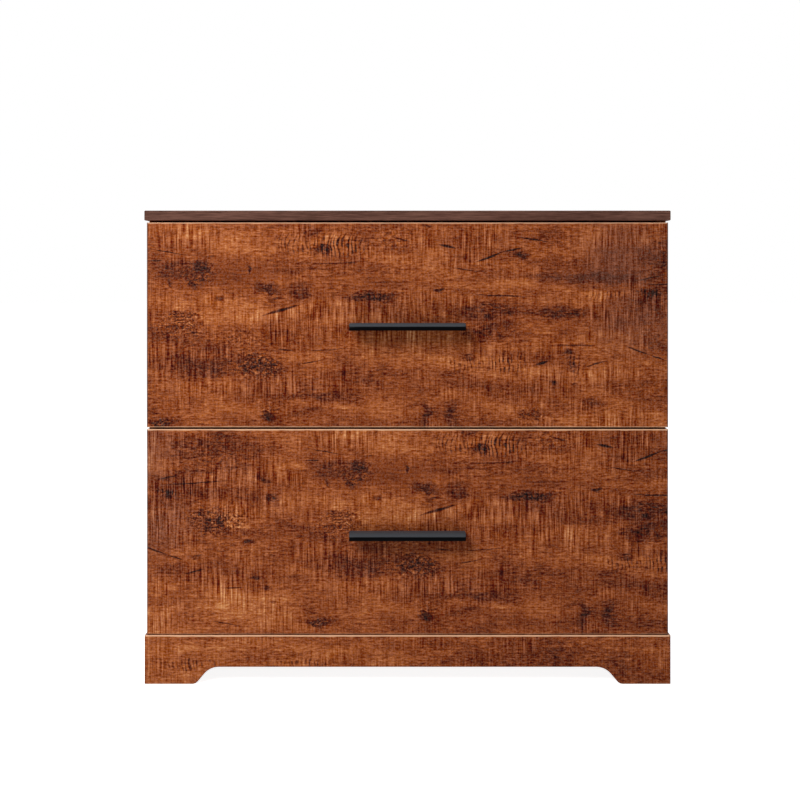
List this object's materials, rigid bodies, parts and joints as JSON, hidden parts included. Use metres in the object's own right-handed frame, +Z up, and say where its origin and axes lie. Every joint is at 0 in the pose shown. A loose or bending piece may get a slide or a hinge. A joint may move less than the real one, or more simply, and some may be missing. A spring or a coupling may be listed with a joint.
{
  "type": "lateral filing cabinet",
  "caption": "Low lateral filing cabinet in wood-print board: stacked file drawers on full-extension ball slides, black finger pulls and a scalloped plinth.",
  "frame": {"origin": "on the floor, under the centre of the overall box, pulls included", "axes": "+Z up, front faces -Y, +X to the right of a person facing the front"},
  "size_m": [0.8, 0.427, 0.72],
  "materials": {
    "front_print": "reddish-brown rough-sawn wood print, satin",
    "top_print": "darker brown wood print, satin",
    "case_print": "reddish-brown rough-sawn wood print, satin",
    "box_print": "plain dark wood-print foil, satin",
    "hardboard": "brown hardboard, matt",
    "black_metal": "black, satin",
    "zinc_steel": "zinc-plated, satin",
    "ball_steel": "oiled steel",
    "black_plastic": "moulded, matt"
  },
  "bodies": {
    "carcass": {"top_panel": "top_print", "left_side_panel": "case_print", "right_side_panel": "case_print", "bottom_panel": "case_print", "back_panel": "hardboard", "middle_rail": "case_print", "rear_top_rail": "case_print", "plinth_front": "front_print", "plinth_left": "front_print", "plinth_right": "front_print", "plinth_back": "case_print", "upper_left_slide_outer_member": "zinc_steel", "upper_right_slide_outer_member": "zinc_steel", "lower_left_slide_outer_member": "zinc_steel", "lower_right_slide_outer_member": "zinc_steel"},
    "upper_drawer": {"upper_drawer_front": "front_print", "upper_drawer_left_side": "box_print", "upper_drawer_right_side": "box_print", "upper_drawer_back": "box_print", "upper_drawer_bottom": "hardboard", "upper_drawer_bottom_brace": "box_print", "upper_drawer_pull": "black_metal", "upper_drawer_pull_left_screw": "zinc_steel", "upper_drawer_pull_right_screw": "zinc_steel", "upper_drawer_front_file_rail": "black_metal", "upper_drawer_rear_file_rail": "black_metal", "upper_left_slide_inner_member": "zinc_steel", "upper_right_slide_inner_member": "zinc_steel"},
    "lower_drawer": {"lower_drawer_front": "front_print", "lower_drawer_left_side": "box_print", "lower_drawer_right_side": "box_print", "lower_drawer_back": "box_print", "lower_drawer_bottom": "hardboard", "lower_drawer_bottom_brace": "box_print", "lower_drawer_pull": "black_metal", "lower_drawer_pull_left_screw": "zinc_steel", "lower_drawer_pull_right_screw": "zinc_steel", "lower_drawer_front_file_rail": "black_metal", "lower_drawer_rear_file_rail": "black_metal", "lower_left_slide_inner_member": "zinc_steel", "lower_right_slide_inner_member": "zinc_steel"},
    "upper_left_slide_middle": {"upper_left_slide_middle_member": "zinc_steel"},
    "upper_left_outer_cage": {"upper_left_slide_outer_ball_cage": "ball_steel"},
    "upper_left_inner_cage": {"upper_left_slide_inner_ball_cage": "ball_steel"},
    "upper_left_lever": {"upper_left_slide_release_lever": "black_plastic"},
    "upper_right_slide_middle": {"upper_right_slide_middle_member": "zinc_steel"},
    "upper_right_outer_cage": {"upper_right_slide_outer_ball_cage": "ball_steel"},
    "upper_right_inner_cage": {"upper_right_slide_inner_ball_cage": "ball_steel"},
    "upper_right_lever": {"upper_right_slide_release_lever": "black_plastic"},
    "lower_left_slide_middle": {"lower_left_slide_middle_member": "zinc_steel"},
    "lower_left_outer_cage": {"lower_left_slide_outer_ball_cage": "ball_steel"},
    "lower_left_inner_cage": {"lower_left_slide_inner_ball_cage": "ball_steel"},
    "lower_left_lever": {"lower_left_slide_release_lever": "black_plastic"},
    "lower_right_slide_middle": {"lower_right_slide_middle_member": "zinc_steel"},
    "lower_right_outer_cage": {"lower_right_slide_outer_ball_cage": "ball_steel"},
    "lower_right_inner_cage": {"lower_right_slide_inner_ball_cage": "ball_steel"},
    "lower_right_lever": {"lower_right_slide_release_lever": "black_plastic"}
  },
  "joints": [
    {"name": "upper_drawer_slide", "type": "slide", "parent": "carcass", "child": "upper_drawer", "axis": [0, -1, 0], "range_m": [0, 0.34]},
    {"name": "lower_drawer_slide", "type": "slide", "parent": "carcass", "child": "lower_drawer", "axis": [0, -1, 0], "range_m": [0, 0.34]},
    {"name": "upper_left_middle_slide", "type": "slide", "parent": "carcass", "child": "upper_left_slide_middle", "axis": [0, -1, 0], "range_m": [0, 0.17]},
    {"name": "upper_left_outer_cage_roll", "type": "slide", "parent": "carcass", "child": "upper_left_outer_cage", "axis": [0, -1, 0], "range_m": [0, 0.085]},
    {"name": "upper_left_inner_cage_roll", "type": "slide", "parent": "carcass", "child": "upper_left_inner_cage", "axis": [0, -1, 0], "range_m": [0, 0.255]},
    {"name": "upper_right_middle_slide", "type": "slide", "parent": "carcass", "child": "upper_right_slide_middle", "axis": [0, -1, 0], "range_m": [0, 0.17]},
    {"name": "upper_right_outer_cage_roll", "type": "slide", "parent": "carcass", "child": "upper_right_outer_cage", "axis": [0, -1, 0], "range_m": [0, 0.085]},
    {"name": "upper_right_inner_cage_roll", "type": "slide", "parent": "carcass", "child": "upper_right_inner_cage", "axis": [0, -1, 0], "range_m": [0, 0.255]},
    {"name": "lower_left_middle_slide", "type": "slide", "parent": "carcass", "child": "lower_left_slide_middle", "axis": [0, -1, 0], "range_m": [0, 0.17]},
    {"name": "lower_left_outer_cage_roll", "type": "slide", "parent": "carcass", "child": "lower_left_outer_cage", "axis": [0, -1, 0], "range_m": [0, 0.085]},
    {"name": "lower_left_inner_cage_roll", "type": "slide", "parent": "carcass", "child": "lower_left_inner_cage", "axis": [0, -1, 0], "range_m": [0, 0.255]},
    {"name": "lower_right_middle_slide", "type": "slide", "parent": "carcass", "child": "lower_right_slide_middle", "axis": [0, -1, 0], "range_m": [0, 0.17]},
    {"name": "lower_right_outer_cage_roll", "type": "slide", "parent": "carcass", "child": "lower_right_outer_cage", "axis": [0, -1, 0], "range_m": [0, 0.085]},
    {"name": "lower_right_inner_cage_roll", "type": "slide", "parent": "carcass", "child": "lower_right_inner_cage", "axis": [0, -1, 0], "range_m": [0, 0.255]},
    {"name": "upper_left_lever_pivot", "type": "hinge", "parent": "upper_drawer", "child": "upper_left_lever", "pos_m": [-0.37175, -0.0365, 0.515], "axis": [1, 0, 0], "range_deg": [-7, 7], "stiffness_Nm_per_rad": 0.02},
    {"name": "upper_right_lever_pivot", "type": "hinge", "parent": "upper_drawer", "child": "upper_right_lever", "pos_m": [0.37175, -0.0365, 0.515], "axis": [1, 0, 0], "range_deg": [-7, 7], "stiffness_Nm_per_rad": 0.02},
    {"name": "lower_left_lever_pivot", "type": "hinge", "parent": "lower_drawer", "child": "lower_left_lever", "pos_m": [-0.37175, -0.0365, 0.2], "axis": [1, 0, 0], "range_deg": [-7, 7], "stiffness_Nm_per_rad": 0.02},
    {"name": "lower_right_lever_pivot", "type": "hinge", "parent": "lower_drawer", "child": "lower_right_lever", "pos_m": [0.37175, -0.0365, 0.2], "axis": [1, 0, 0], "range_deg": [-7, 7], "stiffness_Nm_per_rad": 0.02}
  ],
  "couplings": [
    {"joint": "upper_left_middle_slide", "follows": "upper_drawer_slide", "ratio": 0.5},
    {"joint": "upper_left_outer_cage_roll", "follows": "upper_drawer_slide", "ratio": 0.25},
    {"joint": "upper_left_inner_cage_roll", "follows": "upper_drawer_slide", "ratio": 0.75},
    {"joint": "upper_right_middle_slide", "follows": "upper_drawer_slide", "ratio": 0.5},
    {"joint": "upper_right_outer_cage_roll", "follows": "upper_drawer_slide", "ratio": 0.25},
    {"joint": "upper_right_inner_cage_roll", "follows": "upper_drawer_slide", "ratio": 0.75},
    {"joint": "lower_left_middle_slide", "follows": "lower_drawer_slide", "ratio": 0.5},
    {"joint": "lower_left_outer_cage_roll", "follows": "lower_drawer_slide", "ratio": 0.25},
    {"joint": "lower_left_inner_cage_roll", "follows": "lower_drawer_slide", "ratio": 0.75},
    {"joint": "lower_right_middle_slide", "follows": "lower_drawer_slide", "ratio": 0.5},
    {"joint": "lower_right_outer_cage_roll", "follows": "lower_drawer_slide", "ratio": 0.25},
    {"joint": "lower_right_inner_cage_roll", "follows": "lower_drawer_slide", "ratio": 0.75}
  ]
}
